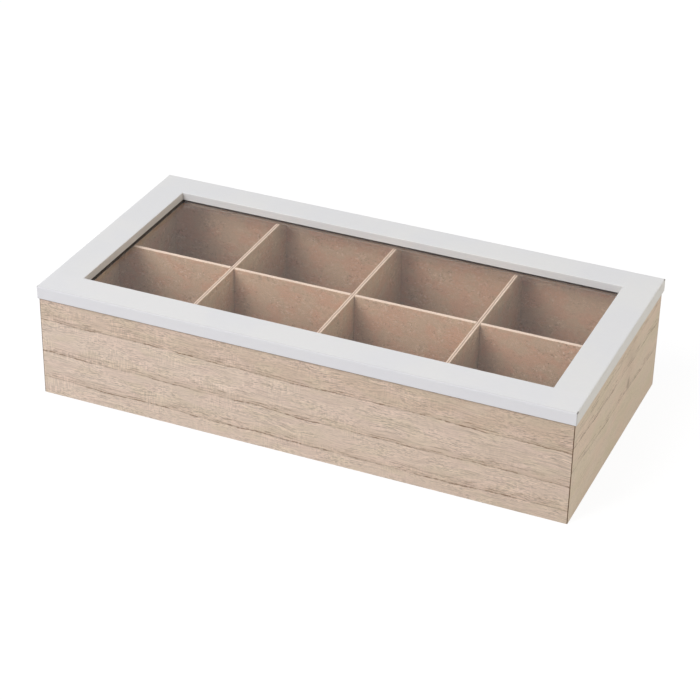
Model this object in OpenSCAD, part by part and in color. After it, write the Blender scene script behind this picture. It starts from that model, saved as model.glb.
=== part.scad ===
// Tea bag organizer box: a mitred box of veneered board, a halved grid of thin dividers,
// and a framed lid with a clear window, hung on two small butt hinges. Millimetres.
// The origin is the centre of the lid's footprint, on the surface that the box stands on.
// +X points right, +Y to the hinges at the back, +Z up.

/* [Box] */
// Width of the box, outside the veneer
box_w = 333; // [260:1:420]
// Depth of the box from front to back, outside the veneer
box_d = 165.75; // [120:0.25:240]
// Height of the box walls
box_h = 64.6; // [45:0.1:110]
// Thickness of the wall board with its veneer
wall_t = 8; // [7.5:0.5:12]
// Thickness of the wood veneer on the outside of the walls
veneer_t = 0.6; // [0.4:0.1:1]
// Open joint left in the veneer along each corner
veneer_joint = 0.3; // [0.1:0.1:0.6]
// Thickness of the bottom panel
bottom_t = 3; // [2:0.5:6]
// Width of the rebate that the bottom panel lies in
bottom_rebate = 4; // [2:0.5:5.5]

/* [Divider grid] */
// Thickness of the divider board
divider_t = 2.5; // [2:0.5:6]
// How far the top of the dividers lies below the rim of the box
divider_drop = 0.6; // [0.5:0.1:20]
// Radius of the eased top edges of the dividers
divider_edge_r = 0.4; // [0.1:0.1:0.9]
// Width of a halving slot beyond the board that stands in it
slot_play = 0.5; // [0.1:0.1:1]
// Gap between a divider's end and the wall
divider_gap = 0.2; // [0:0.1:0.5]

/* [Lid] */
// Thickness of the lid frame
lid_t = 8.4; // [7:0.1:12]
// Width of the four frame rails
rail_w = 20.5; // [16:0.25:40]
// How far the lid stands out over the box on the left and on the right
lid_over_side = 1; // [0:0.25:4]
// How far the lid stands out over the front of the box
lid_over_front = 1; // [0:0.25:6]
// How far the lid stands out over the back of the box
lid_over_back = 1.75; // [1:0.25:3]
// Radius of the eased outer top edge of the frame
top_edge_r = 1; // [0.2:0.1:2]
// Radius of the eased bottom edge and inner top edge of the frame
small_edge_r = 0.5; // [0.1:0.1:0.9]
// Radius of the eased upright corners of the frame
corner_r = 0.7; // [0.2:0.1:2]
// Thickness of the clear pane
pane_t = 1.5; // [1:0.1:1.8]
// Depth of the pane's upper face below the top of the frame
pane_depth = 5; // [4.2:0.1:5.2]
// Depth of the groove in the rails that holds the pane
groove_d = 5; // [2:0.5:7]
// Play of the pane in the height of its groove
pane_play = 0.2; // [0.1:0.1:0.5]
// Gap between the pane's edge and the floor of its groove
pane_edge_gap = 0.5; // [0.1:0.1:1]

/* [Hinges] */
// Distance between the centres of the two hinges
hinge_pitch = 200; // [80:5:220]
// Length of a hinge
hinge_len = 24; // [20:1:36]
// Width of a leaf from the pin's axis to its free edge
leaf_w = 7; // [5.5:0.1:7.4]
// Thickness of a leaf
leaf_t = 0.7; // [0.5:0.1:0.9]
// Outside diameter of the knuckles
knuckle_d = 2.7; // [2.3:0.1:3.2]
// Gap between neighbouring knuckles
knuckle_gap = 0.2; // [0.1:0.1:0.4]
// Diameter of the hinge pin
pin_d = 1.2; // [0.8:0.1:1.5]
// Running clearance between the pin and the lid's knuckles, on the radius
pin_play = 0.05; // [0.02:0.01:0.1]
// Distance of the pin's axis behind the back of the box
axis_back = 0.3; // [0.1:0.1:1]
// Gap between the rim of the box and the closed lid
lid_gap = 0.2; // [0.1:0.1:0.6]
// Clearance round the leaves and knuckles in their pockets
pocket_play = 0.15; // [0.1:0.05:0.3]

/* [Hinge screws] */
// Diameter of the screw's shank
screw_d = 1.6; // [1.2:0.1:2]
// Diameter of the countersunk head
screw_head_d = 3; // [2.4:0.1:3.4]
// Length of a screw from the face of its head to its point
screw_len = 5.5; // [4:0.5:6]
// Distance between the two screws of a leaf
screw_pitch = 14; // [8:0.5:15]
// Play of the shank in the hole of the leaf, on the radius
leaf_hole_play = 0.1; // [0.05:0.05:0.2]
// Width of the cross recess's arms
recess_w = 0.4; // [0.2:0.1:0.5]
// Depth of the cross recess
recess_depth = 0.4; // [0.2:0.1:0.6]

/* [Hidden] */
$fn = 48;

// Overshoot of a cutter past the face it opens
cut = 1;
// Cross dividers in the grid, which make one compartment more in each row
cross_count = 3;
// Knuckles of one hinge: the box leaf has the outer ones and every second one between
knuckle_count = 5;
// Names of the sides in the order that the side modules count them
FRONT = 0;
RIGHT = 1;
BACK = 2;
LEFT = 3;

// The lid lies centred on the origin, and the box lies under it by the overhangs
lid_w = box_w + 2 * lid_over_side;
lid_d = box_d + lid_over_front + lid_over_back;
lid_z = box_h + lid_gap;
lid_y = 0;
box_y = (lid_over_front - lid_over_back) / 2;
box_back_y = box_y + box_d / 2;

inner_w = box_w - 2 * wall_t;
inner_d = box_d - 2 * wall_t;
cell_pitch = (inner_w + divider_t) / (cross_count + 1);
divider_h = box_h - divider_drop - bottom_t;
slot_w = divider_t + slot_play;

groove_h = pane_t + pane_play;
groove_z = lid_t - pane_depth - groove_h;
pane_z = lid_z + groove_z;
pane_reach = groove_d - pane_edge_gap;

axis_y = box_back_y + axis_back;
axis_z = box_h + lid_gap / 2;
knuckle_r = knuckle_d / 2;
pin_r = pin_d / 2;
pocket_r = knuckle_r + pocket_play;
knuckle_len = (hinge_len - (knuckle_count - 1) * knuckle_gap) / knuckle_count;
// Middle of the flat part of a leaf, where its screws stand
screw_y = (pocket_r + leaf_w) / 2;

board_colour = "#B39781";
edge_board_colour = "#C4A88F";
veneer_colour = "#CDBAA6";
paint_colour = "#E4E4E4";
metal_colour = "#C6C4BE";
pane_colour = [0.86, 0.92, 0.92, 0.35];

// ---- Framing: four mitred strips round a rectangle ----

// Puts a strip drawn along X, with its outer face at y = 0 and the inside at +y, on a side
// of a rectangle w by d that is centred on [0, centre_y].
module on_side(side, w, d, centre_y) {
    along_x = side == FRONT || side == BACK;
    translate([0, centre_y, 0])
        rotate([0, 0, 90 * side])
            translate([0, -(along_x ? d : w) / 2, 0])
                children();
}

// A strip of the drawn profile (x from the outer face inwards, y up), len long at its outer
// face and mitred at both ends; reach is the mitre's depth and open the joint left in it.
module mitred_strip(len, reach, height, open = 0) {
    half = len / 2 - open;
    intersection() {
        translate([-half, 0, 0])
            rotate([90, 0, 90])
                linear_extrude(2 * half)
                    children();
        translate([0, 0, -cut])
            linear_extrude(height + 2 * cut)
                polygon([[-half, 0], [half, 0], [half - reach, reach], [reach - half, reach]]);
    }
}

// A square corner to cut away, which leaves a quarter round of radius r at the origin's side
module eased_corner(r) {
    difference() {
        translate([-cut, -cut]) square(r + cut);
        translate([r, r]) circle(r);
    }
}

module rounded_outline(w, d, r) {
    square([w - 2 * r, d], center = true);
    square([w, d - 2 * r], center = true);
    for (sx = [-1, 1], sy = [-1, 1])
        translate([sx * (w / 2 - r), sy * (d / 2 - r)])
            circle(r);
}

// ---- Box ----

// Board of a wall: the veneer's thickness is left free outside, and the bottom is rebated
module wall_profile() {
    difference() {
        translate([veneer_t, 0]) square([wall_t - veneer_t, box_h]);
        translate([wall_t - bottom_rebate, -cut]) square([bottom_rebate + cut, bottom_t + cut]);
    }
}

module wall(side) {
    len = side == FRONT || side == BACK ? box_w : box_d;
    color(board_colour)
        on_side(side, box_w, box_d, box_y)
            mitred_strip(len, wall_t, box_h) wall_profile();
}

module back_wall() {
    color(board_colour)
        difference() {
            wall(BACK);
            box_hinge_pockets();
            box_leaf_screws(recess = false);
        }
}

module veneer(side) {
    len = side == FRONT || side == BACK ? box_w : box_d;
    color(veneer_colour)
        on_side(side, box_w, box_d, box_y)
            mitred_strip(len, veneer_t, box_h, veneer_joint / 2) square([veneer_t, box_h]);
}

module back_veneer() {
    color(veneer_colour)
        difference() {
            veneer(BACK);
            box_hinge_pockets();
        }
}

module bottom_panel() {
    color(board_colour)
        translate([0, box_y, bottom_t / 2])
            cube([inner_w + 2 * bottom_rebate, inner_d + 2 * bottom_rebate, bottom_t],
                 center = true);
}

// ---- Divider grid: three cross dividers halved over one long divider ----

module divider_board(len) {
    rotate([90, 0, 90])
        translate([0, 0, -len / 2])
            linear_extrude(len)
                difference() {
                    translate([-divider_t / 2, 0]) square([divider_t, divider_h]);
                    for (side = [0, 1])
                        mirror([side, 0])
                            translate([divider_t / 2, divider_h])
                                rotate(180) eased_corner(divider_edge_r);
                }
}

// Centre of cross divider i, counted from the left
function cross_x(i) = (i - (cross_count - 1) / 2) * cell_pitch;

module halving_slot(z) {
    translate([-slot_w / 2, -slot_w / 2, z])
        cube([slot_w, slot_w, divider_h / 2 + cut]);
}

module long_divider() {
    color(edge_board_colour)
        translate([0, box_y, bottom_t])
            difference() {
                divider_board(inner_w - 2 * divider_gap);
                for (i = [0 : cross_count - 1])
                    translate([cross_x(i), 0, 0]) halving_slot(divider_h / 2);
            }
}

module cross_divider(i) {
    color(edge_board_colour)
        translate([cross_x(i), box_y, bottom_t])
            difference() {
                rotate([0, 0, 90]) divider_board(inner_d - 2 * divider_gap);
                halving_slot(-cut);
            }
}

// ---- Lid ----

// Rail section: eased edges, and a groove in the inner edge for the pane
module rail_profile() {
    difference() {
        square([rail_w, lid_t]);
        eased_corner(small_edge_r);
        translate([0, lid_t]) mirror([0, 1]) eased_corner(top_edge_r);
        translate([rail_w, lid_t]) rotate(180) eased_corner(small_edge_r);
        translate([rail_w - groove_d, groove_z]) square([groove_d + cut, groove_h]);
    }
}

module rail(side) {
    len = side == FRONT || side == BACK ? lid_w : lid_d;
    color(paint_colour)
        translate([0, 0, lid_z])
            intersection() {
                on_side(side, lid_w, lid_d, lid_y)
                    mitred_strip(len, rail_w, lid_t) rail_profile();
                linear_extrude(lid_t) rounded_outline(lid_w, lid_d, corner_r);
            }
}

module lid_back_rail() {
    color(paint_colour)
        difference() {
            rail(BACK);
            lid_hinge_pockets();
            lid_leaf_screws(recess = false);
        }
}

module window_pane() {
    color(pane_colour)
        translate([0, lid_y, pane_z + pane_t / 2])
            cube([lid_w - 2 * rail_w + 2 * pane_reach, lid_d - 2 * rail_w + 2 * pane_reach, pane_t],
                 center = true);
}

// ---- Butt hinges ----
// A hinge is drawn round its pin's axis, with the leaves reaching to -y. The box leaf lies
// below the axis, and the lid leaf is the same shape turned over, with the other knuckles.

module at_hinge(side) {
    translate([side * hinge_pitch / 2, axis_y, axis_z]) children();
}

function knuckle_x(i) = -hinge_len / 2 + i * (knuckle_len + knuckle_gap);

module bar_x(r, x, len) {
    translate([x, 0, 0]) rotate([0, 90, 0]) cylinder(r = r, h = len);
}

// Leaf below the axis with the knuckles numbered from first in steps of two
module leaf(first, bore_r) {
    difference() {
        union() {
            translate([-hinge_len / 2, -leaf_w, -lid_gap / 2 - leaf_t])
                cube([hinge_len, leaf_w - pocket_r, leaf_t]);
            for (i = [first : 2 : knuckle_count - 1]) {
                bar_x(knuckle_r, knuckle_x(i), knuckle_len);
                translate([knuckle_x(i), -pocket_r, -lid_gap / 2 - leaf_t])
                    cube([knuckle_len, pocket_r, leaf_t]);
            }
        }
        bar_x(bore_r, -hinge_len / 2 - cut, hinge_len + 2 * cut);
        leaf_screw_pair(hole = true);
    }
}

module box_leaf(side) {
    color(metal_colour) at_hinge(side) leaf(0, pin_r);
}

module lid_leaf(side) {
    color(metal_colour) at_hinge(side) mirror([0, 0, 1]) leaf(1, pin_r + pin_play);
}

module hinge_pin(side) {
    color(metal_colour) at_hinge(side) bar_x(pin_r, -hinge_len / 2, hinge_len);
}

// Pocket below the axis for a leaf and the barrel, open to the back over a length of reach
module hinge_pocket(reach) {
    len = hinge_len + 2 * pocket_play;
    translate([-len / 2, -leaf_w - pocket_play, -lid_gap / 2 - leaf_t])
        cube([len, leaf_w + pocket_play + reach, leaf_t + cut]);
    translate([-len / 2, -pocket_r, -pocket_r])
        cube([len, pocket_r + reach, pocket_r + cut]);
}

module box_hinge_pockets() {
    for (side = [-1, 1]) at_hinge(side) hinge_pocket(cut);
}

module lid_hinge_pockets() {
    for (side = [-1, 1]) at_hinge(side) mirror([0, 0, 1]) hinge_pocket(lid_over_back + cut);
}

// ---- Countersunk wood screws, head face up at the origin, point at -z ----

module screw_form(shank_r) {
    head_r = screw_head_d / 2;
    point_h = shank_r;
    rotate_extrude()
        polygon([[0, 0], [head_r, 0], [shank_r, shank_r - head_r], [shank_r, point_h - screw_len],
                 [0, -screw_len]]);
}

module cross_recess() {
    arm = screw_head_d / 2;
    for (turn = [0, 90])
        rotate([0, 0, turn])
            translate([-arm / 2, -recess_w / 2, -recess_depth])
                cube([arm, recess_w, recess_depth + cut]);
}

// The two screws of a leaf below the axis; hole gives the shape that the leaf is bored to
module leaf_screw_pair(hole = false, recess = false) {
    for (end = [-1, 1])
        translate([end * screw_pitch / 2, -screw_y, -lid_gap / 2])
            difference() {
                screw_form(screw_d / 2 + (hole ? leaf_hole_play : 0));
                if (recess) cross_recess();
            }
}

module box_leaf_screws(recess = true) {
    color(metal_colour)
        for (side = [-1, 1])
            at_hinge(side) leaf_screw_pair(recess = recess);
}

module lid_leaf_screws(recess = true) {
    color(metal_colour)
        for (side = [-1, 1])
            at_hinge(side) mirror([0, 0, 1]) leaf_screw_pair(recess = recess);
}

wall(FRONT);  // front_wall
back_wall();
wall(LEFT);  // left_wall
wall(RIGHT);  // right_wall
veneer(FRONT);  // front_veneer
back_veneer();
veneer(LEFT);  // left_veneer
veneer(RIGHT);  // right_veneer
bottom_panel();
long_divider();
cross_divider(0);  // cross_divider_left
cross_divider(1);  // cross_divider_middle
cross_divider(2);  // cross_divider_right
rail(FRONT);  // lid_front_rail
lid_back_rail();
rail(LEFT);  // lid_left_rail
rail(RIGHT);  // lid_right_rail
window_pane();
box_leaf(-1);  // hinge_left_box_leaf
lid_leaf(-1);  // hinge_left_lid_leaf
hinge_pin(-1);  // hinge_left_pin
box_leaf(1);  // hinge_right_box_leaf
lid_leaf(1);  // hinge_right_lid_leaf
hinge_pin(1);  // hinge_right_pin
box_leaf_screws();
lid_leaf_screws();
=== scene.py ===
"""Finishes, lights and camera for the tea bag box: veneered, with eight compartments and a windowed lid."""

import math

import bpy
from bpy.props import FloatProperty, FloatVectorProperty, PointerProperty
from mathutils import Color, Matrix, Vector


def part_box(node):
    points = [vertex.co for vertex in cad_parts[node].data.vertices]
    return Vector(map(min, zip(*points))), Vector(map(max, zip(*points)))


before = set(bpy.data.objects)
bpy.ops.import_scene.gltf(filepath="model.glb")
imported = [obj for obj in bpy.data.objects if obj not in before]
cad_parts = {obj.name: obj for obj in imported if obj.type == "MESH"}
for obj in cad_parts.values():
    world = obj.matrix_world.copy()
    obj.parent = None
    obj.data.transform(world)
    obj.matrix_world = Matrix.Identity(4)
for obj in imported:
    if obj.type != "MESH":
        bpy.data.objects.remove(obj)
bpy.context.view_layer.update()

bl_info = {
    "name": "Tea bag box finishes",
    "version": (1, 0, 0),
    "blender": (4, 5, 0),
    "location": "3D View > Sidebar > Tea box",
    "description": "Wood skins, raw board, white lid, clear pane, hinges and a plain studio",
    "category": "Material",
}

MM = 1000.0  # shader sizes are written in millimetres, the model is in metres

# ---- Settings --------------------------------


def linear(channel):
    """One 0 to 255 screen value as scene-linear light."""
    part = channel / 255.0
    if part <= 0.04045:
        return part / 12.92
    return ((part + 0.055) / 1.055) ** 2.4


def colour(name, note, red, green, blue):
    """A colour setting whose default is written in 0 to 255 screen values."""
    return FloatVectorProperty(
        name=name,
        description=note,
        subtype="COLOR",
        size=3,
        min=0.0,
        max=1.0,
        default=(linear(red), linear(green), linear(blue)),
    )


def share(name, note, value, top=1.0):
    """A plain number from 0 to top."""
    return FloatProperty(name=name, description=note, default=value, min=0.0, max=top)


def length(name, note, value):
    """A length, in metres."""
    return FloatProperty(name=name, description=note, default=value, unit="LENGTH", precision=5)


def place(name, note, values):
    """Three lengths, in metres."""
    return FloatVectorProperty(
        name=name, description=note, default=values, size=3, unit="LENGTH", precision=5
    )


def depths(side, end, values):
    """How deep three growth lines lie below the rim at one end of a side, in metres."""
    return place(f"{side} lines, {end}", f"Depth below the rim at the {end} end", values)


def angle(name, note, degrees):
    """An angle, kept in radians."""
    return FloatProperty(
        name=name, description=note, default=math.radians(degrees), subtype="ANGLE"
    )


class VeneerSettings(bpy.types.PropertyGroup):
    """The wood skins outside the box."""

    pale: colour("Pale wood", "The plain wood between growth lines", 225, 206, 189)
    tan: colour("Tan wood", "The darker wood just above a growth line", 207, 183, 161)
    line: colour("Growth line", "The dark edge of each year's growth", 128, 102, 78)
    rosy: colour("Rosy wood", "Pinkish patches", 226, 202, 187)
    olive: colour("Olive wood", "Greenish patches", 215, 199, 174)
    joint: colour("Corner joint", "The dark cut edges where two skins meet", 104, 74, 46)
    side_pale: colour("Right side", "The plainer, yellower wood of the right side", 229, 212, 192)
    side_rosy: colour("Rosy right side", "Pinkish patches on the right side", 231, 209, 189)
    side_olive: colour("Olive right side", "Greenish patches on the right side", 222, 208, 183)
    side_line: colour("Right growth line", "The thin brown lines of the right side", 122, 90, 62)
    knot: colour("Knot", "The knot on the right side", 112, 88, 62)
    roughness: share("Roughness", "How matt the wood is", 0.66)
    joint_width: length("Joint width", "The dark band along a corner", 0.00032)
    # Painted shadow: the band along the top edge is drawn darker, where the lid's overhang shades it.
    lid_shadow_width: length("Rim width", "The dusty band along the top edge", 0.0009)
    front_start: depths("Front", "left", (0.0133, 0.0357, 0.0539))
    front_end: depths("Front", "right", (0.0181, 0.0404, 0.0566))
    right_start: depths("Right", "front", (0.0160, 0.0318, 0.0090))
    right_end: depths("Right", "back", (0.0198, 0.0368, 0.0062))
    back_start: depths("Back", "right", (0.0095, 0.0290, 0.0505))
    back_end: depths("Back", "left", (0.0140, 0.0325, 0.0580))
    left_start: depths("Left", "back", (0.0180, 0.0395, 0.0590))
    left_end: depths("Left", "front", (0.0150, 0.0370, 0.0575))
    knot_along: length("Knot along", "From the front corner to the knot on the right side", 0.1055)
    knot_depth: length("Knot depth", "From the rim down to the knot", 0.0310)


class BoardSettings(bpy.types.PropertyGroup):
    """The raw board of walls, bottom and dividers."""

    face: colour("Board face", "The pressed face of the board", 213, 182, 154)
    warm: colour("Warm mottle", "Warmer patches in the face", 217, 175, 147)
    bottom: colour("Bottom", "The hardboard of the bottom panel", 134, 117, 101)
    fleck: colour("Pale fibre", "Fine curved fibres in the face", 236, 208, 184)
    speck: colour("Dark speck", "Sparse bits of bark", 92, 68, 50)
    # Painted shade: faces that look right are toned less red, as the shaded faces look.
    right_face_shade: colour("Right-hand faces", "What the faces that look right are toned with", 247, 255, 252)
    cut: colour("Cut edge", "The sawn edges", 250, 225, 204)
    core: colour("Core", "The middle of a sawn edge", 172, 136, 110)
    # Painted shade: how much darker the boards are drawn low down in the box.
    dust_and_low_shade: share("Dust", "How much darker the boards are near the bottom", 0.12)
    roughness: share("Roughness", "How matt the board is", 0.74)


class LidSettings(bpy.types.PropertyGroup):
    """The white painted lid frame."""

    white: colour("White", "The paint", 228, 228, 226)
    cool: colour("Cool patch", "The faint cool patches in the paint", 223, 224, 226)
    # Painted light and shade: the front face is drawn a touch lighter and lilac, faces to the right a touch
    # darker and yellow.
    front: colour("Front face", "The paint on the front, a touch lilac", 235, 234, 238)
    side: colour("Right-hand faces", "The paint on faces to the right, a touch yellow", 223, 221, 216)
    hairline: colour("Hairline", "The fine line where two rails meet at a corner", 132, 130, 126)
    # Painted shade: the dark of the groove under the pane; the corner chips take the same colour.
    gap: colour("Gap", "The dark gap between the pane and its groove", 54, 38, 28)
    bare: colour("Bare board", "The unpainted lip under the pane", 128, 102, 82)
    # Painted shade: how much darker the eased front edge is drawn, to take the lit shine off it.
    thin: share("Thin paint", "How much darker the paint is over an eased edge", 0.16)
    roughness: share("Roughness", "Satin paint", 0.40)
    peel_size: length("Peel size", "Width of one ripple in the paint", 0.0011)
    peel_depth: length("Peel depth", "Height of the ripples", 0.000008)


class PaneSettings(bpy.types.PropertyGroup):
    """The clear sheet in the lid."""

    tint: colour("Tint", "Colour of the sheet", 252, 253, 252)
    ior: FloatProperty(name="Index", description="Index of refraction", default=1.49, min=1.0, max=2.0)
    roughness: share("Roughness", "How hazy the sheet is", 0.0)
    # Painted shadow: a dark brown line along the left rail, tinting what is seen through the pane, stands
    # in for the shade under the rail.
    painted_shadow: colour("Glue", "The dark line of glue along the left rail", 90, 62, 47)
    painted_shadow_width: length("Glue width", "Width of the glue line", 0.0015)


class MetalSettings(bpy.types.PropertyGroup):
    """Hinges and screws."""

    nickel: colour("Nickel", "The plating", 205, 200, 190)
    dull: colour("Dull nickel", "Handled and dusty parts of the plating", 182, 175, 163)
    zinc: colour("Zinc", "The plating of the screws", 226, 226, 224)
    dull_zinc: colour("Dull zinc", "Dusty parts of the screws' plating", 205, 204, 200)
    roughness: share("Roughness", "How brushed the plating is", 0.32)


class StageSettings(bpy.types.PropertyGroup):
    """Camera, lights and floor."""

    aim: place("Aim", "The point the camera looks at", (0.00553, -0.01658, 0.0366))
    distance: length("Distance", "From the camera to the aim", 1.2675)
    turn: angle("Turn", "Round from the front towards the right", 22.913)
    height: angle("Height", "Up from level", 30.297)
    roll: angle("Roll", "Tilt of the camera", 1.144)
    lens: FloatProperty(name="Lens", description="Focal length in mm", default=109.34, min=1.0)
    key: share("Key light", "Soft light from the front left, power in watts", 34.4, 500.0)
    high: share("High light", "Soft light from the front left, higher up", 25.4, 500.0)
    side: share("Side light", "Low soft light from the right", 4.7, 500.0)
    side_tint: colour("Side tint", "Colour of the side light", 255, 243, 211)
    sky: share("Sky", "Even light from all round", 0.56, 10.0)
    sky_tint: colour("Sky tint", "Colour of the even light", 252, 251, 255)
    mirror: share("Ceiling", "How bright the ceiling looks in the pane", 0.42)
    floor: share("Floor", "How pale the floor is to the light", 0.35)


class TeaBoxSettings(bpy.types.PropertyGroup):
    """Everything that can be changed about the tea bag box."""

    veneer: PointerProperty(type=VeneerSettings)
    board: PointerProperty(type=BoardSettings)
    lid: PointerProperty(type=LidSettings)
    pane: PointerProperty(type=PaneSettings)
    metal: PointerProperty(type=MetalSettings)
    stage: PointerProperty(type=StageSettings)


# ---- Laying down shader nodes ----------------


class Bench:
    """Lays down and links the nodes of one material, node group or world."""

    def __init__(self, tree):
        self.tree = tree
        self.count = 0

    def node(self, kind, **settings):
        made = self.tree.nodes.new(kind)
        made.location = (180 * (self.count // 6), -170 * (self.count % 6))
        self.count += 1
        for name, value in settings.items():
            setattr(made, name, value)
        return made

    def feed(self, socket, value):
        """Links a socket to value, or writes value on it."""
        if isinstance(value, bpy.types.NodeSocket):
            self.tree.links.new(value, socket)
        elif isinstance(value, Color):
            socket.default_value = (*value, 1.0)
        elif value is not None:
            socket.default_value = value

    def math(self, step, first, second=None):
        made = self.node("ShaderNodeMath", operation=step)
        self.feed(made.inputs[0], first)
        self.feed(made.inputs[1], second)
        return made.outputs[0]

    def add(self, first, *others):
        for other in others:
            first = self.math("ADD", first, other)
        return first

    def less(self, first, second):
        return self.math("SUBTRACT", first, second)

    def times(self, first, *others):
        for other in others:
            first = self.math("MULTIPLY", first, other)
        return first

    def most(self, first, second):
        return self.math("MAXIMUM", first, second)

    def unsigned(self, value):
        return self.math("ABSOLUTE", value)

    def build_up(self, start, parts):
        """start plus each part times its strength."""
        for part, strength in parts:
            start = self.add(start, self.times(part, strength))
        return start

    def vector(self, step, first, second):
        made = self.node("ShaderNodeVectorMath", operation=step)
        self.feed(made.inputs[0], first)
        self.feed(made.inputs[1], second)
        return made.outputs[0]

    def split(self, vector):
        made = self.node("ShaderNodeSeparateXYZ")
        self.feed(made.inputs[0], vector)
        return made.outputs[0], made.outputs[1], made.outputs[2]

    def join(self, x, y, z):
        made = self.node("ShaderNodeCombineXYZ")
        for socket, value in zip(made.inputs, (x, y, z)):
            self.feed(socket, value)
        return made.outputs[0]

    def span(self, value, low, high, out_low=0.0, out_high=1.0, smooth=True):
        """Carries low..high over to out_low..out_high, held at the ends."""
        kind = "SMOOTHSTEP" if smooth else "LINEAR"
        made = self.node("ShaderNodeMapRange", interpolation_type=kind, clamp=True)
        for socket, item in zip(made.inputs, (value, low, high, out_low, out_high)):
            self.feed(socket, item)
        return made.outputs[0]

    def fall(self, value, low, high, smooth=True):
        """1 up to low, falling to 0 at high."""
        return self.span(value, low, high, 1.0, 0.0, smooth)

    def bell(self, value, width):
        """1 at zero, falling smoothly to nothing about twice width away."""
        ratio = self.math("DIVIDE", value, width)
        square = self.times(ratio, ratio)
        return self.math("EXPONENT", self.times(square, -1.0))

    def noise(self, place, sizes, detail=2.0, roughness=0.5, warp=0.0):
        """Noise whose features are sizes millimetres long, centred on 0.5."""
        stretched = self.vector("DIVIDE", place, sizes)
        made = self.node("ShaderNodeTexNoise", noise_dimensions="3D")
        self.feed(made.inputs["Vector"], stretched)
        made.inputs["Scale"].default_value = 1.0
        made.inputs["Detail"].default_value = detail
        made.inputs["Roughness"].default_value = roughness
        made.inputs["Distortion"].default_value = warp
        return made.outputs["Fac"]

    def patch(self, place, sizes, detail, low, high, out_low=0.0, out_high=1.0):
        """Soft-edged patches: noise from low to high becomes out_low to out_high."""
        return self.span(self.noise(place, sizes, detail), low, high, out_low, out_high)

    def ripple(self, place, sizes, detail=2.0, roughness=0.5, warp=0.0):
        """Noise that swings about zero."""
        return self.less(self.noise(place, sizes, detail, roughness, warp), 0.5)

    def sway(self, place, sizes, reach, detail=1.0):
        """Noise that swings about zero by roughly reach."""
        return self.times(self.ripple(place, sizes, detail), reach * 4.0)

    def blend(self, share_of_second, first, second, mode="MIX"):
        made = self.node("ShaderNodeMix", data_type="RGBA", blend_type=mode, clamp_factor=True)
        self.feed(made.inputs[0], share_of_second)
        self.feed(made.inputs[6], first)
        self.feed(made.inputs[7], second)
        return made.outputs[2]

    def shade(self, tint, factor):
        """Makes a colour lighter or darker by a factor."""
        grey = self.join(factor, factor, factor)
        return self.blend(1.0, tint, grey, mode="MULTIPLY")

    def either(self, share_of_second, first, second):
        """Mixes two shaders."""
        made = self.node("ShaderNodeMixShader")
        for socket, value in zip(made.inputs, (share_of_second, first, second)):
            self.feed(socket, value)
        return made.outputs[0]


def new_group(name, vectors=(), values=(), colours=()):
    """An empty node group for a surface: (bench, {input name: socket}, output node)."""
    tree = bpy.data.node_groups.new(name, "ShaderNodeTree")
    inputs = (("NodeSocketVector", vectors), ("NodeSocketFloat", values), ("NodeSocketColor", colours))
    for kind, labels in inputs:
        for label in labels:
            tree.interface.new_socket(label, in_out="INPUT", socket_type=kind)
    tree.interface.new_socket("Color", in_out="OUTPUT", socket_type="NodeSocketColor")
    tree.interface.new_socket("Rough", in_out="OUTPUT", socket_type="NodeSocketFloat")
    tree.interface.new_socket("Height", in_out="OUTPUT", socket_type="NodeSocketFloat")
    bench = Bench(tree)
    entry = bench.node("NodeGroupInput")
    leaving = bench.node("NodeGroupOutput")
    return bench, {label: entry.outputs[label] for label in vectors + values + colours}, leaving


def send_out(bench, leaving, tint, rough, height):
    """Wires what a surface group gives: its colour, its change of roughness and its height in mm."""
    for label, value in (("Color", tint), ("Rough", rough), ("Height", height)):
        bench.feed(leaving.inputs[label], value)


def use_group(bench, name, **values):
    """Places a node group in a material and feeds its inputs; underscores stand for spaces."""
    made = bench.node("ShaderNodeGroup", node_tree=bpy.data.node_groups[name])
    for label, value in values.items():
        bench.feed(made.inputs[label.replace("_", " ")], value)
    return made


def cleared(holder):
    """A bench over the emptied nodes of a material or a world."""
    holder.use_nodes = True
    holder.node_tree.nodes.clear()
    return Bench(holder.node_tree)


def new_material(name):
    """An empty material with one Principled shader: (material, bench, shader)."""
    material = bpy.data.materials.new(name)
    bench = cleared(material)
    shader = bench.node("ShaderNodeBsdfPrincipled")
    output = bench.node("ShaderNodeOutputMaterial")
    bench.feed(output.inputs["Surface"], shader.outputs[0])
    return material, bench, shader


def surface(bench):
    """The shaded point in millimetres and the way its face looks, both in the piece's own frame."""
    where = bench.node("ShaderNodeTexCoord")
    place_mm = bench.vector("MULTIPLY", where.outputs["Object"], (MM, MM, MM))
    return place_mm, where.outputs["Normal"]


def relief(bench, shader, height):
    """Turns a height in millimetres into bump on the shader."""
    bump = bench.node("ShaderNodeBump")
    bump.inputs["Strength"].default_value = 1.0
    bump.inputs["Distance"].default_value = 1.0 / MM
    bench.feed(bump.inputs["Height"], height)
    bench.feed(shader.inputs["Normal"], bump.outputs["Normal"])


def coat(bench, shader, skin, tint, roughness):
    """Gives a shader its colour, and its roughness and relief from a surface group."""
    bench.feed(shader.inputs["Base Color"], tint)
    bench.feed(shader.inputs["Roughness"], bench.add(roughness, skin.outputs["Rough"]))
    relief(bench, shader, skin.outputs["Height"])


def dress(names, material):
    """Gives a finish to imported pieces. Their meshes stay as they are."""
    for name in names:
        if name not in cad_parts:
            raise RuntimeError(f"the packed model has no piece named {name}")
        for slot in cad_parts[name].material_slots:
            slot.material = material


# ---- Node groups shared by materials ---------


# Two weak echoes lie above each growth line: how far, in millimetres, and how strong they are.
ECHOES = ((1.5, 0.62), (3.3, 0.50))


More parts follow.
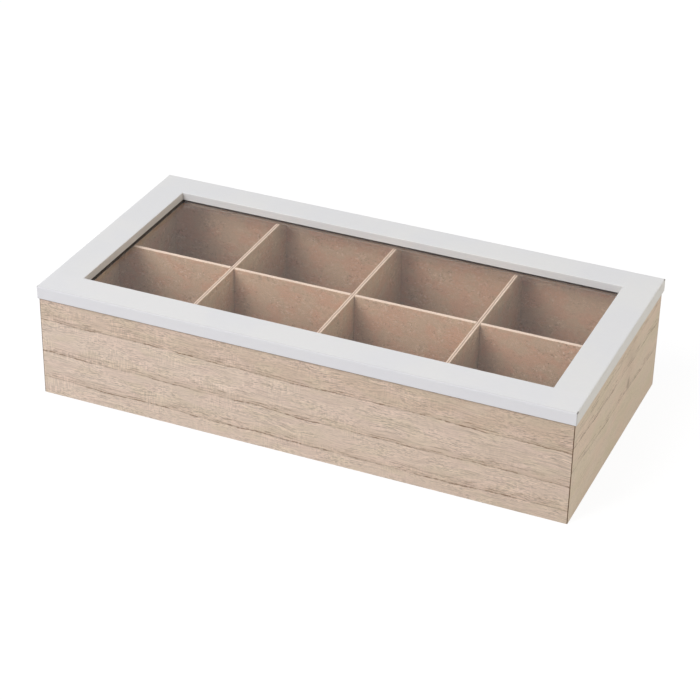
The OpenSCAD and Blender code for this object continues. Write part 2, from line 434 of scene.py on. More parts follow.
def build_wood_grain():
    """Flat-sawn pale wood: growth lines with echoes, dashes, streaks, upright ticks and faint patches."""
    bench, put, out = new_group(
        "wood grain",
        vectors=("Place", "Lines at start", "Lines at end", "Knot", "Seed"),
        values=("Length", "Figure", "Bands"),
        colours=("Pale", "Tan", "Line", "Rosy", "Olive", "Dark"),
    )
    along, depth, across = bench.split(put["Place"])
    own = bench.vector("ADD", put["Place"], put["Seed"])
    figure = put["Figure"]

    def aside(x, y):
        """The same place read from another part of the noise."""
        return bench.vector("ADD", own, (x, y, 0.0))

    def by_figure(plain, figured):
        """plain where the wood has no figure, figured where it has most."""
        return bench.span(figure, 0.0, 1.0, plain, figured, smooth=False)

    def strokes(noise, low, high, middle):
        """Marks lighter and darker than the wood round them, where noise passes from low to high."""
        return bench.less(bench.span(noise, low, high), middle)

    wavy = bench.add(bench.sway(own, (64.0, 40.0, 30.0), 0.95), bench.sway(own, (20.0, 14.0, 12.0), 0.42))
    ragged = bench.add(bench.sway(own, (3.6, 1.4, 1.4), 0.26), bench.sway(own, (1.2, 0.8, 0.8), 0.12))
    course = bench.add(depth, wavy)
    level = bench.add(course, ragged)

    progress = bench.math("DIVIDE", along, put["Length"])
    mixed = bench.node("ShaderNodeMix", data_type="VECTOR", clamp_factor=False)
    bench.feed(mixed.inputs[0], progress)
    bench.feed(mixed.inputs[4], put["Lines at start"])
    bench.feed(mixed.inputs[5], put["Lines at end"])
    line_depths = bench.split(mixed.outputs[1])

    # Each growth line: a thin broken dark edge, paler wood under it, tan wood and weak echoes above it.
    dark_lines = 0.0
    tan_room = 0.0
    paler = 0.0
    busy = 0.0
    core_width = by_figure(0.24, 0.40)
    last_share = bench.span(put["Bands"], 0.0, 1.0, 0.30, 1.0, smooth=False)
    for index, line_depth in enumerate(line_depths):
        above = bench.less(line_depth, level)
        long_gate = bench.patch(aside(91.0 * index, 47.0), (15.0, 60.0, 30.0), 2.0, 0.36, 0.60, 0.45)
        short_gate = bench.patch(aside(37.0 * index, 9.0), (3.4, 60.0, 30.0), 2.0, 0.40, 0.56, 0.48)
        core = bench.times(bench.bell(above, core_width), bench.times(long_gate, short_gate))
        lines = bench.times(core, last_share) if index == 2 else core
        for order, (offset, strength) in enumerate(ECHOES):
            drift = bench.sway(aside(15.0 * index, 70.0 + 31.0 * order), (24.0, 30.0, 30.0), 0.5)
            echo = bench.bell(bench.add(bench.less(above, offset), drift), 0.28)
            echo_place = aside(55.0 * index, 120.0 + 40.0 * order)
            echo_gate = bench.patch(echo_place, (9.0, 60.0, 30.0), 3.0, 0.44, 0.60, 0.0, strength)
            lines = bench.most(lines, bench.times(echo, echo_gate))
        dark_lines = bench.most(dark_lines, lines)
        over = bench.span(above, -0.20, 0.60)
        # The tan wood over the first line reaches up to the rim, over the others it fades sooner.
        if index == 0:
            skirt = bench.times(over, bench.span(above, 2.0, 20.0, 0.60, 0.42, smooth=False))
        else:
            skirt = bench.times(over, bench.span(above, 0.0, 7.0, 0.40, 0.0, smooth=False))
        tan_room = bench.most(tan_room, skirt)
        paler = bench.most(paler, bench.bell(bench.add(above, 1.15), 0.80))
        busy = bench.most(busy, bench.times(over, bench.span(above, 0.0, 11.0, 1.0, 0.35, smooth=False)))

    # Short light and dark dashes lie along the grain, slightly aslant, in patches.
    slant = bench.sway(aside(5.0, 210.0), (26.0, 11.0, 9.0), 1.1)
    grain_place = bench.vector("ADD", bench.join(along, bench.add(course, slant), across), put["Seed"])
    dash_patch = bench.patch(aside(3.0, 15.0), (26.0, 8.0, 12.0), 2.0, 0.40, 0.60, 0.30)
    dashes = strokes(bench.noise(grain_place, (7.0, 0.72, 2.0), 1.0), 0.34, 0.54, 0.68)
    dashes = bench.times(dashes, dash_patch, bench.add(bench.times(busy, 0.6), 0.5))
    fine = strokes(bench.noise(grain_place, (2.4, 0.37, 1.2), 1.0), 0.36, 0.54, 0.66)
    fine = bench.times(fine, dash_patch)
    streak_noise = bench.noise(grain_place, (14.0, 0.54, 3.0), 2.0)
    streak_patch = bench.patch(aside(33.0, 99.0), (50.0, 12.0, 12.0), 1.0, 0.42, 0.58, 0.15)
    streaks = bench.times(strokes(streak_noise, 0.36, 0.60, 0.6), streak_patch)
    threads = bench.fall(streak_noise, 0.33, 0.40)
    threads = bench.times(threads, bench.span(busy, 0.0, 1.0, 0.25, 1.0))

    # Upright ticks, left by the planer and the pores, in their own patches.
    tick_patch = bench.patch(aside(71.0, 33.0), (26.0, 12.0, 12.0), 1.0, 0.47, 0.60)
    tick_room = bench.times(tick_patch, bench.less(1.0, bench.times(progress, 0.75)))
    ticks = strokes(bench.noise(aside(13.0, 5.0), (0.74, 5.2, 3.0), 1.0), 0.40, 0.66, 0.36)
    ticks = bench.times(ticks, tick_room)

    fibre = bench.ripple(grain_place, (34.0, 0.46, 2.0), 3.0, 0.6)
    cloud = bench.ripple(aside(9.0, 77.0), (40.0, 11.0, 20.0))
    # Faint pink and green patches, larger and softer where there is little figure.
    zoom = by_figure(0.40, 1.0)
    wide = bench.vector("MULTIPLY", own, bench.join(zoom, zoom, zoom))
    rosy_place = bench.vector("ADD", wide, (0.0, 131.0, 0.0))
    rosy_room = bench.patch(rosy_place, (24.0, 8.0, 20.0), 2.0, 0.46, 0.62)
    olive_place = bench.vector("ADD", wide, (57.0, 211.0, 0.0))
    olive_room = bench.patch(olive_place, (22.0, 8.0, 20.0), 2.0, 0.48, 0.64)

    tan_room = bench.times(tan_room, 0.85, put["Bands"])
    ageing = bench.times(progress, put["Bands"])
    tan_share = bench.add(tan_room, bench.times(cloud, 0.15), bench.times(ageing, 0.40))
    tint = bench.blend(tan_share, put["Pale"], put["Tan"])
    patches = by_figure(0.80, 0.38)
    tint = bench.blend(bench.times(rosy_room, patches), tint, put["Rosy"])
    tint = bench.blend(bench.times(olive_room, patches), tint, put["Olive"])
    late = bench.span(ageing, 0.62, 1.0, 0.0, 0.030)
    light = bench.less(1.0, late)
    for part, strength in ((dashes, 0.06), (fine, 0.34), (streaks, 0.20), (ticks, 0.18), (fibre, 0.30)):
        light = bench.add(light, bench.times(part, strength, figure))
    light = bench.add(light, bench.times(paler, 0.020))
    tint = bench.shade(tint, light)
    tint = bench.blend(bench.times(threads, 0.26, figure), tint, put["Line"])
    tint = bench.blend(bench.times(dark_lines, 0.93), tint, put["Line"])

    # The knot: a small dark heart with a soft haze that runs up from it.
    knot_along, knot_depth, knot_size = bench.split(put["Knot"])
    past_knot = bench.add(bench.less(along, knot_along), bench.sway(own, (4.0, 5.0, 4.0), 0.9, detail=2.0))
    below_knot = bench.less(depth, knot_depth)
    heart = bench.times(bench.bell(past_knot, 2.9), bench.bell(below_knot, 4.2))
    haze = bench.times(bench.bell(past_knot, 10.0), bench.bell(bench.add(below_knot, 15.0), 14.0))
    knot = bench.most(bench.times(heart, 0.50), bench.times(haze, 0.13))
    tint = bench.blend(bench.times(knot, knot_size), tint, put["Dark"])

    rough = bench.add(bench.times(fibre, 0.20), bench.times(dark_lines, 0.05))
    raised = ((dark_lines, -0.012), (fine, 0.028), (streaks, 0.020), (ticks, 0.014), (fibre, 0.02))
    height = bench.build_up(bench.times(dashes, 0.022), raised)
    send_out(bench, out, tint, rough, bench.times(height, figure))


def build_board_fibre():
    """Pressed fibreboard: mottling, patches of fine light and dark fibres, specks, paler sawn edges."""
    bench, put, out = new_group(
        "board fibre",
        vectors=("Place",),
        values=("Off centre", "Cut"),
        colours=("Face", "Warm", "Fleck", "Speck", "Cut face", "Core"),
    )
    at = put["Place"]

    def aside(x, y):
        """The same place read from another part of the noise."""
        return bench.vector("ADD", at, (x, y, 13.0))

    mottle = bench.patch(at, (12.0, 12.0, 9.0), 3.0, 0.40, 0.62)
    grit = bench.ripple(at, (0.8, 0.8, 0.8), 2.0, 0.6)
    busy = bench.patch(aside(17.0, 5.0), (15.0, 15.0, 9.0), 2.0, 0.42, 0.60, 0.35)
    felt = bench.times(bench.ripple(at, (2.4, 2.4, 1.5), 2.0, 0.6, warp=0.6), busy)

    def fibres(x, y, size, width):
        """Thin places where a warped noise crosses its middle, kept only in short pieces."""
        curl = bench.ripple(aside(x, y), (size, size, size * 0.7), warp=0.8)
        thread = bench.fall(bench.unsigned(curl), width * 0.4, width)
        kept = bench.patch(aside(y, x), (2.6, 2.6, 2.0), 1.0, 0.50, 0.57)
        return bench.times(thread, kept, busy)

    pale_fibres = fibres(31.0, 3.0, 3.4, 0.046)
    dark_fibres = fibres(7.0, 57.0, 3.0, 0.036)

    cells = bench.node("ShaderNodeTexVoronoi", feature="F1")
    bench.feed(cells.inputs["Vector"], bench.vector("DIVIDE", at, (4.3, 4.3, 4.3)))
    cells.inputs["Scale"].default_value = 1.0
    chance, size_part = bench.split(cells.outputs["Color"])[:2]
    radius = bench.span(chance, 0.66, 1.0, 0.0, 0.13, smooth=False)
    specks = bench.span(bench.less(radius, cells.outputs["Distance"]), -0.015, 0.025)
    dark_specks = bench.times(specks, bench.span(size_part, 0.40, 0.44))
    pale_specks = bench.times(specks, bench.fall(size_part, 0.40, 0.44))

    tint = bench.blend(mottle, put["Face"], put["Warm"])
    tint = bench.shade(tint, bench.build_up(1.0, ((grit, 0.36), (felt, 0.52))))
    marks = (
        (pale_fibres, 0.95, "Fleck"),
        (dark_fibres, 0.38, "Speck"),
        (dark_specks, 0.60, "Speck"),
        (pale_specks, 0.60, "Fleck"),
    )
    for mark, strength, mark_colour in marks:
        tint = bench.blend(bench.times(mark, strength), tint, put[mark_colour])

    # A sawn edge is pale along both faces and darker in the middle.
    run = bench.ripple(aside(3.0, 81.0), (9.0, 9.0, 9.0))
    middle = bench.bell(bench.add(put["Off centre"], bench.times(run, 0.8)), 0.38)
    saw = bench.ripple(at, (0.9, 0.9, 0.9), 3.0, 0.65)
    sawn = bench.blend(bench.times(middle, 0.90), put["Cut face"], put["Core"])
    sawn = bench.shade(sawn, bench.add(1.0, bench.add(bench.times(saw, 0.36), bench.times(run, 0.16))))
    tint = bench.blend(put["Cut"], tint, sawn)

    raised = (
        (felt, 0.10),
        (bench.less(pale_fibres, dark_fibres), 0.035),
        (bench.times(saw, put["Cut"]), 0.06),
    )
    height = bench.build_up(bench.times(grit, 0.030), raised)
    send_out(bench, out, tint, bench.times(grit, 0.20), height)


def build_paint_skin():
    """Sprayed satin paint: faint cool clouds, a fine dusting, orange peel and a slightly uneven sheen."""
    bench, put, out = new_group(
        "paint skin",
        vectors=("Place",),
        values=("Peel size", "Peel depth"),
        colours=("White", "Cool"),
    )
    at = put["Place"]
    cloud = bench.patch(at, (38.0, 38.0, 30.0), 3.0, 0.38, 0.64)
    tint = bench.blend(bench.times(cloud, 0.55), put["White"], put["Cool"])
    dust_and_low_shade = bench.ripple(at, (2.2, 2.2, 2.2), 3.0, 0.6)
    tint = bench.shade(tint, bench.add(1.0, bench.times(dust_and_low_shade, 0.035)))
    sheen = bench.ripple(at, (12.0, 12.0, 12.0), 3.0)
    peel = bench.noise(at, bench.join(put["Peel size"], put["Peel size"], put["Peel size"]), 1.0)
    send_out(bench, out, tint, bench.times(sheen, 0.16), bench.times(peel, put["Peel depth"]))


def build_metal_skin():
    """Plated metal: fine brushing along X and duller patches."""
    bench, put, out = new_group("metal skin", vectors=("Place",), colours=("Bright", "Dull"))
    at = put["Place"]
    brushing = bench.noise(at, (5.0, 0.11, 0.11), 2.0, 0.6)
    brushed = bench.less(brushing, 0.5)
    patch = bench.patch(at, (2.6, 2.6, 2.6), 3.0, 0.42, 0.62)
    tint = bench.blend(bench.times(patch, 0.55), put["Bright"], put["Dull"])
    tint = bench.shade(tint, bench.add(0.96, bench.times(brushed, 0.22)))
    rough = bench.add(bench.times(patch, 0.14), bench.times(brushed, 0.2))
    send_out(bench, out, tint, rough, bench.times(brushing, 0.004))


def shared_group(name, build):
    """Builds a node group the first time that it is asked for."""
    if name not in bpy.data.node_groups:
        build()


# ---- Pieces ----------------------------------

BOX_LOW = [min(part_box(name)[0][axis] for name in ("front_veneer", "left_veneer")) for axis in range(3)]
BOX_HIGH = [max(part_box(name)[1][axis] for name in ("back_veneer", "right_veneer")) for axis in range(3)]
WOOD_SHINE = 0.32  # specular level of the open-grained wood
BOARD_SHINE = 0.30  # specular level of the raw board


def veneer_material(looks, name, axis, flipped, lines, seed, knot, figure, bands, woods):
    """One side's wood skin. The grain runs along axis, from its high end when flipped."""
    pale, rosy, olive, line = woods
    material, bench, shader = new_material(name)
    at, facing = surface(bench)
    parts = bench.split(at)
    start = (BOX_HIGH if flipped else BOX_LOW)[axis] * MM
    run = (BOX_HIGH[axis] - BOX_LOW[axis]) * MM
    if flipped:
        along = bench.less(start, parts[axis])
    else:
        along = bench.less(parts[axis], start)
    depth = bench.less(BOX_HIGH[2] * MM, parts[2])
    across = parts[1 - axis]
    grain = use_group(
        bench,
        "wood grain",
        Place=bench.join(along, depth, across),
        Length=run,
        Lines_at_start=[value * MM for value in lines[0]],
        Lines_at_end=[value * MM for value in lines[1]],
        Knot=knot,
        Pale=pale,
        Tan=looks.tan,
        Line=line,
        Rosy=rosy,
        Olive=olive,
        Dark=looks.knot,
        Seed=seed,
        Figure=figure,
        Bands=bands,
    )
    # The cut edges at the corners are dark, and their line is a little ragged.
    rag = bench.sway(at, (3.0, 3.0, 2.2), 0.06, detail=2.0)
    band = looks.joint_width * MM
    from_end = bench.math("MINIMUM", along, bench.less(run, along))
    corner = bench.fall(bench.add(from_end, rag), band, band + 0.22)
    normal = bench.split(facing)
    edge = bench.fall(bench.unsigned(normal[1 - axis]), 0.55, 0.85)
    # Painted shadow: a dark band along the top edge, under the lid's overhang.
    rim = bench.fall(depth, looks.lid_shadow_width * MM * 0.3, looks.lid_shadow_width * MM)
    tint = bench.blend(bench.times(edge, 0.35), grain.outputs["Color"], looks.line)
    tint = bench.blend(bench.times(rim, 0.32), tint, looks.line)
    tint = bench.blend(bench.times(corner, 0.92), tint, looks.joint)
    shader.inputs["Specular IOR Level"].default_value = WOOD_SHINE
    coat(bench, shader, grain, tint, looks.roughness)
    return material


class TEABOX_OT_veneer(bpy.types.Operator):
    """Skins the four sides of the box in pale open-grained wood, each with its own growth lines"""

    bl_idname = "teabox.veneer"
    bl_label = "Wood skins"

    def execute(self, context):
        looks = context.scene.teabox.veneer
        shared_group("wood grain", build_wood_grain)
        knot = (looks.knot_along * MM, looks.knot_depth * MM, 1.0)
        no_knot = (0.0, 0.0, 0.0)
        main = (looks.pale, looks.rosy, looks.olive, looks.line)
        side = (looks.side_pale, looks.side_rosy, looks.side_olive, looks.side_line)
        front = (looks.front_start, looks.front_end)
        right = (looks.right_start, looks.right_end)
        back = (looks.back_start, looks.back_end)
        left = (looks.left_start, looks.left_end)
        # Each side: its grain's axis, whether that is flipped, its growth lines, its place in the noise,
        # its knot, how much figure it has, how strong its bands are, and its colours.
        sides = (
            ("front_veneer", 0, False, front, (0.0, 0.0, 0.0), no_knot, 1.0, 1.0, main),
            ("right_veneer", 1, False, right, (700.0, 60.0, 0.0), knot, 0.36, 0.2, side),
            ("back_veneer", 0, True, back, (1500.0, 220.0, 0.0), no_knot, 1.0, 1.0, main),
            ("left_veneer", 1, True, left, (2300.0, 410.0, 0.0), no_knot, 0.8, 0.7, main),
        )
        for name, *rest in sides:
            dress([name], veneer_material(looks, name + "_wood", *rest))
        return {"FINISHED"}


def board_material(looks, name, thin_axis, middle, face, fringe):
    """Raw board. thin_axis is the direction of its thickness, middle where its centre lies on it.
    Above the height fringe its faces are as pale as the sawn edge: a painted highlight where light catches
    the top arris."""
    material, bench, shader = new_material(name)
    at, facing = surface(bench)
    parts = bench.split(at)
    normal = bench.split(facing)
    cut = bench.fall(bench.unsigned(normal[thin_axis]), 0.30, 0.80)
    # Painted highlight: near the top the faces are as pale as the sawn edge, where light catches the arris.
    cut = bench.most(cut, bench.span(parts[2], fringe, fringe + 0.2))
    fibre = use_group(
        bench,
        "board fibre",
        Place=at,
        Off_centre=bench.less(parts[thin_axis], middle),
        Cut=cut,
        Face=face or looks.face,
        Warm=face or looks.warm,
        Fleck=looks.fleck,
        Speck=looks.speck,
        Cut_face=looks.cut,
        Core=looks.core,
    )
    # Painted shade: the boards are drawn darker low down in the box.
    dust_and_low_shade = bench.span(parts[2], 18.0, 60.0, 1.0 - looks.dust_and_low_shade, 1.0)
    # Painted shade: faces that look right are toned less red and a touch greener.
    looks_right = bench.span(normal[0], 0.5, 0.9)
    tint = bench.blend(looks_right, fibre.outputs["Color"], looks.right_face_shade, mode="MULTIPLY")
    shader.inputs["Specular IOR Level"].default_value = BOARD_SHINE
    coat(bench, shader, fibre, bench.shade(tint, dust_and_low_shade), looks.roughness)
    return material


def dress_boards(context, boards):
    """Gives each board its finish. The last three values of a board are how far the dark middle of its sawn
    edge is moved, its own face colour if it has one, and how far the pale edge, a painted highlight on the
    lit top arris, reaches down the faces."""
    looks = context.scene.teabox.board
    shared_group("board fibre", build_board_fibre)
    for name, thin_axis, shift, face, highlight_reach in boards:
        low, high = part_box(name)
        middle = (low[thin_axis] + high[thin_axis]) / 2 * MM + shift
        fringe = high[2] * MM - highlight_reach
        dress([name], board_material(looks, name + "_board", thin_axis, middle, face, fringe))


class TEABOX_OT_walls(bpy.types.Operator):
    """Finishes the raw board walls and the bottom panel inside the box"""

    bl_idname = "teabox.walls"
    bl_label = "Walls and bottom"

    def execute(self, context):
        bottom = context.scene.teabox.board.bottom
        walls = [("front_wall", 1), ("back_wall", 1), ("left_wall", 0), ("right_wall", 0)]
        boards = [(name, axis, 0.0, None, 0.05) for name, axis in walls]
        dress_boards(context, boards + [("bottom_panel", 2, 0.0, bottom, -1.0)])
        return {"FINISHED"}


class TEABOX_OT_dividers(bpy.types.Operator):
    """Finishes the halved divider boards that make the eight compartments"""

    bl_idname = "teabox.dividers"
    bl_label = "Divider grid"

    def execute(self, context):
        crosses = [("cross_divider_" + spot, 0, 0.0, None, 0.1) for spot in ("left", "middle", "right")]
        dress_boards(context, crosses + [("long_divider", 1, -1.55, None, 0.30)])
        return {"FINISHED"}


BARE_REACH = 5.5  # unpainted board goes this far into the rails from the opening, in millimetres


def lid_material(looks):
    """White paint with hairlines at the mitres, painted shade in the groove over bare board under the pane,
    and painted light and shade on the front, the right-hand faces and the eased front edge.
    """
    material, bench, shader = new_material("lid_paint")
    at, facing = surface(bench)
    x, y, z = bench.split(at)
    out_x = bench.unsigned(x)
    out_y = bench.unsigned(y)
    nx, ny, nz = bench.split(facing)
    skin = use_group(
        bench,
        "paint skin",
        Place=at,
        White=looks.white,
        Cool=looks.cool,
        Peel_size=looks.peel_size * MM,
        Peel_depth=looks.peel_depth * MM,
    )
    rail_low, rail_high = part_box("lid_right_rail")
    side, end, top = (value * MM for value in rail_high)
    inner_x, front, under = (value * MM for value in rail_low)
    inner_y = -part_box("lid_front_rail")[1][1] * MM
    pane_low, pane_high = (corner[2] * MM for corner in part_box("window_pane"))
    corner_gap = (rail_high[0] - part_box("lid_back_rail")[1][1]) * MM
    from_mitre = bench.less(bench.less(out_x, out_y), corner_gap)
    wave = bench.sway(at, (5.0, 5.0, 3.0), 0.05, detail=2.0)
    mitre = bench.fall(bench.unsigned(bench.add(from_mitre, wave)), 0.08, 0.30)
    upright = bench.fall(bench.unsigned(nz), 0.25, 0.75)
    hairline = bench.times(mitre, upright)
    # A short dark chip at the top of each outer corner, on the side rail's eased edge.
    at_top = bench.span(z, top - 1.0, top - 0.5)
    by_side = bench.span(out_x, side - 0.8, side - 0.4)
    by_end = bench.span(out_y, end - 2.6, end - 1.8)
    nick = bench.times(by_end, at_top, by_side)
    # Painted shade: the eased front edge is drawn darker, which takes the lit shine off it; the edge is
    # also a little rougher.
    level = bench.times(nz, nz)
    eased = bench.times(level, bench.less(1.0, level), 4.0)
    eased = bench.times(eased, bench.fall(y, front + 2.0, front + 3.0))
    # The groove that holds the pane, and the lip under it, are bare board.
    by_opening = bench.times(
        bench.fall(out_x, inner_x + BARE_REACH, inner_x + BARE_REACH + 0.5, smooth=False),
        bench.fall(out_y, inner_y + BARE_REACH, inner_y + BARE_REACH + 0.5, smooth=False),
    )
    under_pane = bench.fall(z, pane_high + 0.02, pane_high + 0.2)
    above_face = bench.span(z, under + 0.02, under + 0.10)
    bare = bench.times(by_opening, under_pane, above_face)
    # Painted shade: the groove under the pane is drawn dark, and on the left, where the lip lies in shade,
    # the dark reaches further down.
    gap_low = bench.span(x, -inner_x, -inner_x + 6.0, pane_low - 2.00, pane_low - 0.85)
    gap = bench.times(bare, bench.span(bench.less(z, gap_low), 0.0, 0.50))
    # Painted shade: the top is drawn a touch darker just behind the front edge.
    near_edge = bench.span(y, front, front + 2.8, 0.022, 0.0)
    painted_edge_shade = bench.add(bench.times(eased, looks.thin), bench.times(near_edge, bench.span(nz, 0.5, 1.0)))
    # Painted light: the front face is drawn lighter and a touch lilac, and a thin strip along the front of
    # the opening a touch lighter, a painted highlight.
    painted_front_light = bench.times(bench.span(ny, -1.0, -0.5, 0.6, 0.0), bench.fall(y, -1.0, 0.0))
    painted_front_light = bench.most(painted_front_light, bench.span(y, -inner_y - 1.0, -inner_y, 0.08, 0.0))
    tint = bench.blend(painted_front_light, skin.outputs["Color"], looks.front)
    # Painted shade: faces to the right are drawn darker and a touch yellow.
    tint = bench.blend(bench.span(nx, 0.5, 1.0), tint, looks.side)
    tint = bench.shade(tint, bench.less(1.0, painted_edge_shade))
    tint = bench.blend(bench.times(hairline, 0.32), tint, looks.hairline)
    tint = bench.blend(bench.times(nick, 0.60), tint, looks.gap)
    tint = bench.blend(bare, tint, looks.bare)
    bench.feed(shader.inputs["Base Color"], bench.blend(gap, tint, looks.gap))
    rough = bench.add(looks.roughness, skin.outputs["Rough"])
    rough = bench.add(rough, bench.times(eased, 0.25))
    bench.feed(shader.inputs["Roughness"], bench.add(rough, bench.times(bare, 0.3)))
    relief(bench, shader, bench.less(skin.outputs["Height"], bench.times(hairline, 0.02)))
    return material


class TEABOX_OT_lid(bpy.types.Operator):
    """Paints the four mitred rails of the lid"""

    bl_idname = "teabox.lid"
    bl_label = "Lid frame"

    def execute(self, context):
        shared_group("paint skin", build_paint_skin)
        rails = [f"lid_{side}_rail" for side in ("front", "back", "left", "right")]
        dress(rails, lid_material(context.scene.teabox.lid))
        return {"FINISHED"}


class TEABOX_OT_pane(bpy.types.Operator):
    """Makes the pane a clear sheet that lets the lamps' light through, with a painted shadow along the left
    rail
    """

    bl_idname = "teabox.pane"
    bl_label = "Window pane"

    def execute(self, context):
        looks = context.scene.teabox.pane
        material, bench, shader = new_material("pane_clear")
        at = surface(bench)[0]
        # Painted shadow: the pane is tinted dark brown along the left rail, for the shade under it.
        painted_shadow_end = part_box("lid_left_rail")[1][0] * MM + looks.painted_shadow_width * MM
        ragged = bench.add(bench.split(at)[0], bench.sway(at, (7.0, 9.0, 5.0), 0.25, detail=2.0))
        painted_shadow = bench.fall(ragged, painted_shadow_end - 0.2, painted_shadow_end)
        bench.feed(shader.inputs["Base Color"], bench.blend(painted_shadow, looks.tint, looks.painted_shadow))
        shader.inputs["Transmission Weight"].default_value = 1.0
        shader.inputs["IOR"].default_value = looks.ior
        shader.inputs["Roughness"].default_value = looks.roughness
        rays = bench.node("ShaderNodeLightPath")
        lamps = bench.most(rays.outputs["Is Shadow Ray"], rays.outputs["Is Diffuse Ray"])
        through = bench.node("ShaderNodeBsdfTransparent")
        sheet = bench.either(lamps, shader.outputs[0], through.outputs[0])
        output = next(node for node in bench.tree.nodes if node.type == "OUTPUT_MATERIAL")
        bench.feed(output.inputs["Surface"], sheet)
        dress(["window_pane"], material)
        return {"FINISHED"}


class TEABOX_OT_hinges(bpy.types.Operator):
    """Finishes the hinge leaves and pins in nickel and the screws in zinc"""

    bl_idname = "teabox.hinges"
    bl_label = "Hinges and screws"

    def execute(self, context):
        looks = context.scene.teabox.metal
        shared_group("metal skin", build_metal_skin)
        hinges = [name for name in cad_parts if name.startswith("hinge_")]
        screws = [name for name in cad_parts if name.endswith("_screws")]
        finishes = (
            ("hinge_nickel", hinges, looks.nickel, looks.dull),
            ("screw_zinc", screws, looks.zinc, looks.dull_zinc),
        )
        for finish, pieces, bright, dull in finishes:
            material, bench, shader = new_material(finish)
            at = surface(bench)[0]
            skin = use_group(bench, "metal skin", Place=at, Bright=bright, Dull=dull)
            shader.inputs["Metallic"].default_value = 1.0
            coat(bench, shader, skin, skin.outputs["Color"], looks.roughness)
            dress(pieces, material)
        return {"FINISHED"}


# ---- Stage -----------------------------------


WHITE = (1.0, 1.0, 1.0, 1.0)
SENSOR_WIDTH = 36.0  # of the camera, in millimetres
NEAREST = 0.01  # nothing closer to the camera is drawn, in metres
LAMP_AIM = (0.0, 0.0, 0.04)
# Soft lamps: name, place in metres, width and depth. Their powers are settings.
LAMPS = (
    ("key", (-1.29, -2.13, 1.73), 1.19, 1.36),
    ("high", (-0.82, -1.41, 2.60), 1.19, 1.19),
    ("side", (1.60, 0.12, 0.30), 1.2, 0.5),
)
HAZE = (0.16, 0.36)  # the ceiling begins and is complete at these heights, from 0 level to 1 overhead
FLOOR_REACH = 6.0  # half the floor's side, in metres
FLOOR_DROP = 0.0003  # how far the floor lies under the box, in metres
FLOOR_GREY = 0.14  # how much of the box's shadow the seen floor takes
FLOOR_GLOW = 0.90  # how bright the seen floor is by itself


def aim_camera(looks):
    """Puts the camera where the photograph was taken from."""
    flat = math.cos(looks.height)
    away = Vector((math.sin(looks.turn) * flat, -math.cos(looks.turn) * flat, math.sin(looks.height)))
    level = Vector((math.cos(looks.turn), math.sin(looks.turn), 0.0))
    upright = away.cross(level)
    right = level * math.cos(looks.roll) + upright * math.sin(looks.roll)
    top = upright * math.cos(looks.roll) - level * math.sin(looks.roll)
    lens = bpy.data.cameras.new("camera")
    lens.lens = looks.lens
    lens.sensor_width = SENSOR_WIDTH
    lens.clip_start = NEAREST
    camera = bpy.data.objects.new("camera", lens)
    turned = Matrix((right, top, away)).transposed().to_4x4()
    camera.matrix_world = Matrix.Translation(Vector(looks.aim) + away * looks.distance) @ turned
    bpy.context.scene.collection.objects.link(camera)
    bpy.context.scene.camera = camera


def add_softbox(name, spot, width, depth, power, tint):
    """A soft rectangular lamp at spot, turned towards the box."""
    lamp = bpy.data.lights.new(name, "AREA")
    lamp.shape = "RECTANGLE"
    lamp.size = width
    lamp.size_y = depth
    lamp.energy = power
    lamp.color = tint
    holder = bpy.data.objects.new(name, lamp)
    holder.location = spot
    holder.rotation_euler = (Vector(LAMP_AIM) - Vector(spot)).to_track_quat("-Z", "Y").to_euler()
    holder.visible_glossy = False
    bpy.context.scene.collection.objects.link(holder)


def seen_directly(bench):
    """1 for the camera, mirror-like and see-through rays, 0 for the rays that light things."""
    rays = bench.node("ShaderNodeLightPath")
    seen = bench.most(rays.outputs["Is Camera Ray"], rays.outputs["Is Glossy Ray"])
    return bench.most(seen, rays.outputs["Is Transmission Ray"])


def build_world(looks):
    """An even pale sky; what is seen directly is white near the horizon and dimmer overhead."""
    world = bpy.data.worlds.new("studio")
    bpy.context.scene.world = world
    bench = cleared(world)
    where = bench.node("ShaderNodeTexCoord")
    up = bench.split(where.outputs["Generated"])[2]
    seen_level = bench.span(up, HAZE[0], HAZE[1], 1.0, looks.mirror)
    seen = seen_directly(bench)
    level = bench.node("ShaderNodeMix", data_type="FLOAT")
    bench.feed(level.inputs[0], seen)
    bench.feed(level.inputs[2], looks.sky)
    bench.feed(level.inputs[3], seen_level)
    sky = bench.node("ShaderNodeBackground")
    bench.feed(sky.inputs["Color"], bench.blend(seen, looks.sky_tint, WHITE))
    bench.feed(sky.inputs["Strength"], level.outputs[0])
    output = bench.node("ShaderNodeOutputWorld")
    bench.feed(output.inputs["Surface"], sky.outputs[0])


def matt(bench, grey):
    """A matt shader of one grey."""
    made = bench.node("ShaderNodeBsdfDiffuse")
    made.inputs["Color"].default_value = (grey, grey, grey, 1.0)
    return made.outputs[0]


def build_floor(looks):
    """A wide pale floor: white to the eye with the box's faint shadow, plain pale to the light."""
    ends = ((-1, -1), (1, -1), (1, 1), (-1, 1))
    corners = [(x * FLOOR_REACH, y * FLOOR_REACH, -FLOOR_DROP) for x, y in ends]
    mesh = bpy.data.meshes.new("floor")
    mesh.from_pydata(corners, [], [(0, 1, 2, 3)])
    floor = bpy.data.objects.new("floor", mesh)
    bpy.context.scene.collection.objects.link(floor)
    material = bpy.data.materials.new("floor_pale")
    bench = cleared(material)
    glow = bench.node("ShaderNodeEmission")
    glow.inputs["Strength"].default_value = FLOOR_GLOW
    white = bench.node("ShaderNodeAddShader")
    bench.feed(white.inputs[0], matt(bench, FLOOR_GREY))
    bench.feed(white.inputs[1], glow.outputs[0])
    output = bench.node("ShaderNodeOutputMaterial")
    shown = bench.either(seen_directly(bench), matt(bench, looks.floor), white.outputs[0])
    bench.feed(output.inputs["Surface"], shown)
    mesh.materials.append(material)


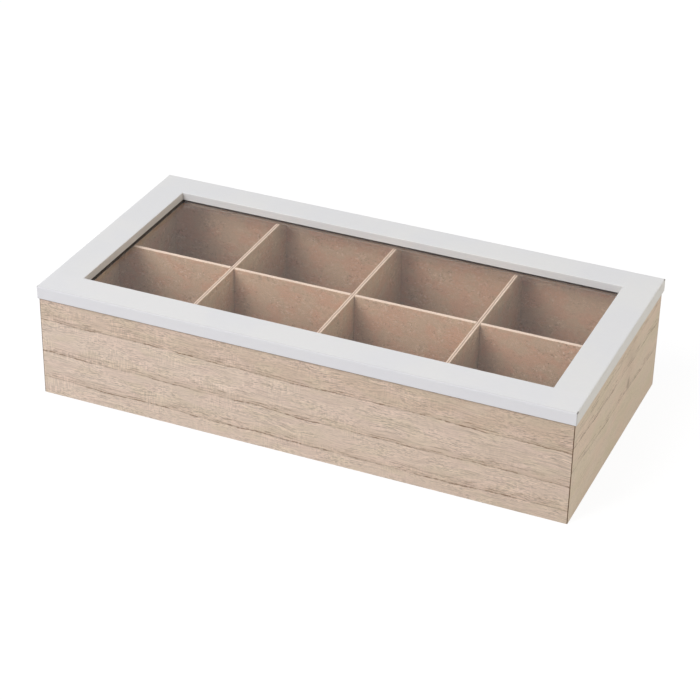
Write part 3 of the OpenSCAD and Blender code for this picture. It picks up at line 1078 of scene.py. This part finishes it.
class TEABOX_OT_stage(bpy.types.Operator):
    """Sets up the camera, the soft studio lights and the pale floor"""

    bl_idname = "teabox.stage"
    bl_label = "Studio"

    def execute(self, context):
        looks = context.scene.teabox.stage
        context.scene.view_settings.view_transform = "Standard"
        aim_camera(looks)
        tints = {"side": looks.side_tint}
        for name, spot, width, depth in LAMPS:
            add_softbox(name, spot, width, depth, getattr(looks, name), tints.get(name, WHITE[:3]))
        build_world(looks)
        build_floor(looks)
        return {"FINISHED"}


class TEABOX_PT_panel(bpy.types.Panel):
    """Lists the settings and the pieces of the tea bag box"""

    bl_label = "Tea bag box"
    bl_idname = "TEABOX_PT_panel"
    bl_space_type = "VIEW_3D"
    bl_region_type = "UI"
    bl_category = "Tea box"

    def draw(self, context):
        groups = context.scene.teabox
        rows = (
            ("veneer", ("veneer",)),
            ("board", ("walls", "dividers")),
            ("lid", ("lid",)),
            ("pane", ("pane",)),
            ("metal", ("hinges",)),
            ("stage", ("stage",)),
        )
        for title, operators in rows:
            box = self.layout.box()
            box.label(text=title.capitalize())
            group = getattr(groups, title)
            for name in group.__annotations__:
                box.prop(group, name)
            for operator in operators:
                box.operator("teabox." + operator)


CLASSES = (
    VeneerSettings,
    BoardSettings,
    LidSettings,
    PaneSettings,
    MetalSettings,
    StageSettings,
    TeaBoxSettings,
    TEABOX_OT_veneer,
    TEABOX_OT_walls,
    TEABOX_OT_dividers,
    TEABOX_OT_lid,
    TEABOX_OT_pane,
    TEABOX_OT_hinges,
    TEABOX_OT_stage,
    TEABOX_PT_panel,
)


def register():
    for item in CLASSES:
        bpy.utils.register_class(item)
    bpy.types.Scene.teabox = PointerProperty(type=TeaBoxSettings)


def unregister():
    del bpy.types.Scene.teabox
    for item in reversed(CLASSES):
        bpy.utils.unregister_class(item)


def main():
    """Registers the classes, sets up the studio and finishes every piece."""
    register()
    bpy.ops.teabox.stage()
    bpy.ops.teabox.veneer()
    bpy.ops.teabox.walls()
    bpy.ops.teabox.dividers()
    bpy.ops.teabox.lid()
    bpy.ops.teabox.pane()
    bpy.ops.teabox.hinges()
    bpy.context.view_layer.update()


if __name__ == "__main__":
    main()
